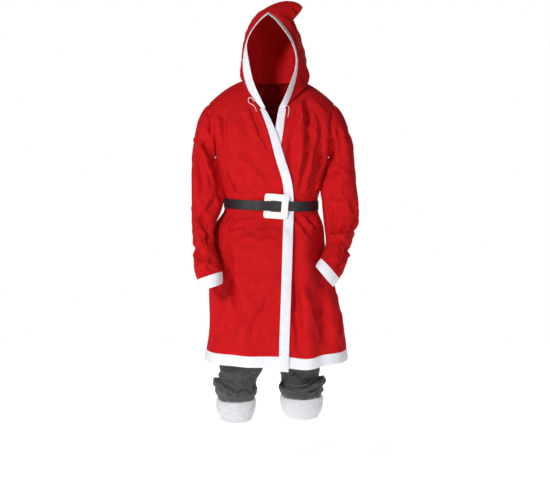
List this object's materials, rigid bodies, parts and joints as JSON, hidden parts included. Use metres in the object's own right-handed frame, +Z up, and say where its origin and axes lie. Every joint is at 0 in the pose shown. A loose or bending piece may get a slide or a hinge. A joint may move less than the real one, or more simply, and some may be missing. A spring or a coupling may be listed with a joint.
{
  "type": "santa suit",
  "caption": "Hollow costume as worn: hooded open-front coat with white bands and neck tie, broad belt with frame buckle, and trousers with plush cuffs.",
  "frame": {"origin": "where the wearer's shoulders carry the coat: between the shoulder seams at the base of the neck, mount shoulders", "axes": "+Z up along the standing wearer, the open front faces -Y, +X is the wearer's left"},
  "size_m": [0.6523, 0.456, 1.6464],
  "materials": {
    "felt": "soft matte brushed felt, bright red",
    "trim": "white brushed fleece band",
    "vinyl": "black vinyl, soft satin sheen",
    "plastic": "white moulded plastic, semi-gloss",
    "twill": "dark grey matte trouser cloth",
    "plush": "white long-pile plush",
    "cord": "thin pinkish white twisted cord"
  },
  "bodies": {
    "root": {"back": "felt", "belt": "vinyl", "buckle": "plastic", "cuff_band_left": "trim", "cuff_band_right": "trim", "front_band_left": "trim", "front_band_right": "trim", "front_left": "felt", "front_right": "felt", "hem_band_back": "trim", "hem_band_front_left": "trim", "hem_band_front_right": "trim", "hood_band_left": "trim", "hood_band_right": "trim", "hood_left": "felt", "hood_right": "felt", "sleeve_left": "felt", "sleeve_right": "felt", "tie_left": "cord", "tie_right": "cord", "trouser_cuff_left": "plush", "trouser_cuff_right": "plush", "trouser_leg_left": "twill", "trouser_leg_right": "twill", "waistband": "twill"}
  },
  "joints": []
}
